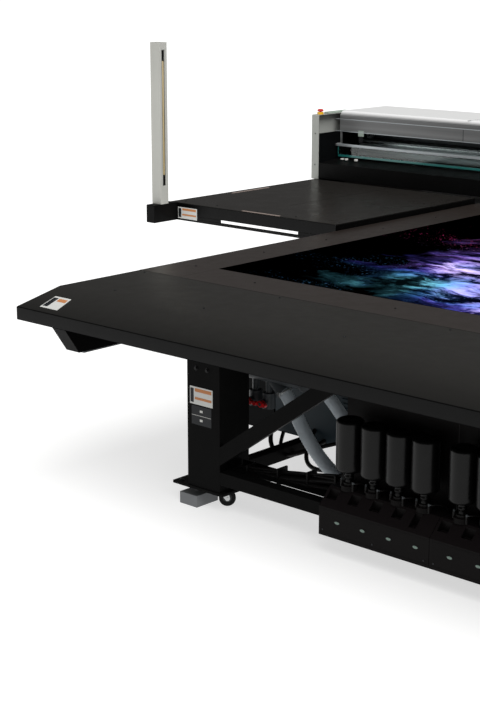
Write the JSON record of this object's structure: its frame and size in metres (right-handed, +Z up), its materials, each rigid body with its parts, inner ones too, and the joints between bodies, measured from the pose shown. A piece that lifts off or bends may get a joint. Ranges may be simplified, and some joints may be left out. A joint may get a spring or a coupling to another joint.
{
  "type": "flatbed uv printer",
  "caption": "Flatbed UV printer: fixed vacuum table on a braced leg frame, travelling gantry with side decks, crossing print carriage, hooded beam and front ink racks.",
  "frame": {"origin": "on the floor under the middle of the machine's bounding box, gantry parked at the rear", "axes": "+X to the operator's right along the gantry, +Y from the front edge to the rear, +Z up"},
  "size_m": [6.252, 4.35, 1.928],
  "materials": {
    "cover_black": "fine satin powder coat",
    "border_brown": "satin powder coat",
    "bed_plate": "anodised dark plate",
    "plenum_grey": "mill finish",
    "frame_black": "semi-gloss paint",
    "rail_steel": "ground steel",
    "track_grey": "matt",
    "foot_grey": "cast grey",
    "zinc": "zinc plated",
    "tread": "satin",
    "cabinet_black": "satin",
    "switch_red": "gloss",
    "box_blue_grey": "satin",
    "cast_grey": "cast",
    "pipe_grey": "satin",
    "hose_grey": "satin",
    "separator_black": "textured",
    "rack_black": "textured",
    "bottle_black": "satin",
    "bolt_dark": "oxide",
    "beam_dark": "satin",
    "extrusion_silver": "anodised",
    "belt_black": "matt",
    "hood_silver": "brushed semi-gloss",
    "window_clear": "clear with green edge",
    "cheek_grey": "satin powder coat",
    "deck_grey": "fine texture powder coat",
    "post_grey": "satin",
    "lens_beige": "satin",
    "estop_yellow": "gloss",
    "estop_red": "gloss",
    "carriage_dark": "anodised",
    "head_gold": "satin",
    "lamp_grey": "anodised"
  },
  "bodies": {
    "table": {"table_front_cover": "cover_black", "border_covers": "border_brown", "vacuum_bed": "bed_plate", "vacuum_plenum": "plenum_grey", "rail_beams": "frame_black", "cross_beams": "frame_black", "linear_rails": "rail_steel", "motor_tracks": "track_grey", "legs": "frame_black", "lower_beams": "frame_black", "diagonal_braces": "frame_black", "levelling_feet": "foot_grey", "control_cabinet": "cabinet_black", "blower_box": "box_blue_grey", "vacuum_blower": "cast_grey", "vacuum_manifold": "pipe_grey", "vacuum_hoses": "hose_grey", "mist_separator": "separator_black", "ink_racks": "rack_black", "ink_bottles": "bottle_black", "fasteners": "bolt_dark"},
    "gantry": {"gantry_beam": "beam_dark", "guide_extrusion": "extrusion_silver", "carriage_rails": "rail_steel", "drive_belt": "belt_black", "hood": "hood_silver", "front_skirt": "cover_black", "end_cheeks": "cheek_grey", "cheek_liners": "cabinet_black", "deck_left": "deck_grey", "deck_right": "deck_grey", "deck_frames": "frame_black", "trucks": "beam_dark", "linear_bearings": "rail_steel", "curtain_posts": "post_grey", "curtain_lenses": "lens_beige", "post_brackets": "cover_black", "estop_bases": "estop_yellow", "capping_station": "separator_black"},
    "carriage": {"carriage_frame": "carriage_dark", "uv_lamps": "lamp_grey"},
    "heads": {"head_unit": "carriage_dark", "print_heads": "head_gold"},
    "window": {"window": "window_clear"},
    "drive_pulley": {"drive_pulley": "cast_grey"},
    "idler_pulley": {"idler_pulley": "cast_grey"},
    "estop_left": {"estop_button_left": "estop_red"},
    "estop_right": {"estop_button_right": "estop_red"},
    "cabinet_door": {"cabinet_door": "cabinet_black"},
    "main_switch": {"main_switch": "switch_red"},
    "valve_1": {"valve_handle_1": "switch_red"},
    "valve_2": {"valve_handle_2": "switch_red"},
    "fork_front_left": {"caster_fork_front_left": "zinc"},
    "wheel_front_left": {"caster_wheel_front_left": "tread"},
    "fork_front_right": {"caster_fork_front_right": "zinc"},
    "wheel_front_right": {"caster_wheel_front_right": "tread"},
    "fork_rear_left": {"caster_fork_rear_left": "zinc"},
    "wheel_rear_left": {"caster_wheel_rear_left": "tread"},
    "fork_rear_right": {"caster_fork_rear_right": "zinc"},
    "wheel_rear_right": {"caster_wheel_rear_right": "tread"}
  },
  "joints": [
    {"name": "gantry_travel", "type": "slide", "parent": "table", "child": "gantry", "axis": [0, -1, 0], "range_m": [0, 2.9]},
    {"name": "carriage_travel", "type": "slide", "parent": "gantry", "child": "carriage", "axis": [-1, 0, 0], "range_m": [0, 4.61]},
    {"name": "head_lift", "type": "slide", "parent": "carriage", "child": "heads", "axis": [0, 0, 1], "range_m": [-0.035, 0.06]},
    {"name": "window_hinge", "type": "hinge", "parent": "gantry", "child": "window", "pos_m": [0, 1.604, 1.202], "axis": [-1, 0, 0], "range_deg": [0, 95]},
    {"name": "drive_pulley_spin", "type": "hinge", "parent": "gantry", "child": "drive_pulley", "pos_m": [2.98, 1.876, 1.25], "axis": [0, 1, 0], "continuous": true},
    {"name": "idler_pulley_spin", "type": "hinge", "parent": "gantry", "child": "idler_pulley", "pos_m": [-2.98, 1.876, 1.25], "axis": [0, 1, 0], "continuous": true},
    {"name": "estop_left_push", "type": "slide", "parent": "gantry", "child": "estop_left", "axis": [0, 0, -1], "range_m": [0, 0.004], "stiffness_N_per_m": 3000, "springref_m": -0.002},
    {"name": "estop_right_push", "type": "slide", "parent": "gantry", "child": "estop_right", "axis": [0, 0, -1], "range_m": [0, 0.004], "stiffness_N_per_m": 3000, "springref_m": -0.002},
    {"name": "cabinet_door_hinge", "type": "hinge", "parent": "table", "child": "cabinet_door", "pos_m": [-1.4665, -0.429, 0.45], "axis": [0, 0, -1], "range_deg": [0, 110]},
    {"name": "main_switch_turn", "type": "hinge", "parent": "cabinet_door", "child": "main_switch", "pos_m": [-1.47, -1.061, 0.52], "axis": [-1, 0, 0], "range_deg": [0, 90]},
    {"name": "valve_1_turn", "type": "hinge", "parent": "table", "child": "valve_1", "pos_m": [-1.062, -1.475, 0.458], "axis": [0, 1, 0], "range_deg": [0, 90]},
    {"name": "valve_2_turn", "type": "hinge", "parent": "table", "child": "valve_2", "pos_m": [-0.982, -1.475, 0.458], "axis": [0, 1, 0], "range_deg": [0, 90]},
    {"name": "caster_front_left_swivel", "type": "hinge", "parent": "table", "child": "fork_front_left", "pos_m": [-1.06, -1.646, 0.09], "axis": [0, 0, 1], "continuous": true},
    {"name": "caster_front_left_roll", "type": "hinge", "parent": "fork_front_left", "child": "wheel_front_left", "pos_m": [-1.04444, -1.63044, 0.041], "axis": [-0.7071, 0.7071, 0], "continuous": true},
    {"name": "caster_front_right_swivel", "type": "hinge", "parent": "table", "child": "fork_front_right", "pos_m": [1.06, -1.646, 0.09], "axis": [0, 0, 1], "continuous": true},
    {"name": "caster_front_right_roll", "type": "hinge", "parent": "fork_front_right", "child": "wheel_front_right", "pos_m": [1.04444, -1.63044, 0.041], "axis": [0.7071, 0.7071, 0], "continuous": true},
    {"name": "caster_rear_left_swivel", "type": "hinge", "parent": "table", "child": "fork_rear_left", "pos_m": [-1.06, 1.7, 0.09], "axis": [0, 0, 1], "continuous": true},
    {"name": "caster_rear_left_roll", "type": "hinge", "parent": "fork_rear_left", "child": "wheel_rear_left", "pos_m": [-1.08067, 1.69248, 0.041], "axis": [0.342, -0.9397, 0], "continuous": true},
    {"name": "caster_rear_right_swivel", "type": "hinge", "parent": "table", "child": "fork_rear_right", "pos_m": [1.06, 1.7, 0.09], "axis": [0, 0, 1], "continuous": true},
    {"name": "caster_rear_right_roll", "type": "hinge", "parent": "fork_rear_right", "child": "wheel_rear_right", "pos_m": [1.08067, 1.69248, 0.041], "axis": [-0.342, -0.9397, 0], "continuous": true}
  ],
  "couplings": [
    {"joint": "drive_pulley_spin", "follows": "carriage_travel", "rad_per_m": 47.17},
    {"joint": "idler_pulley_spin", "follows": "carriage_travel", "rad_per_m": 47.17}
  ]
}
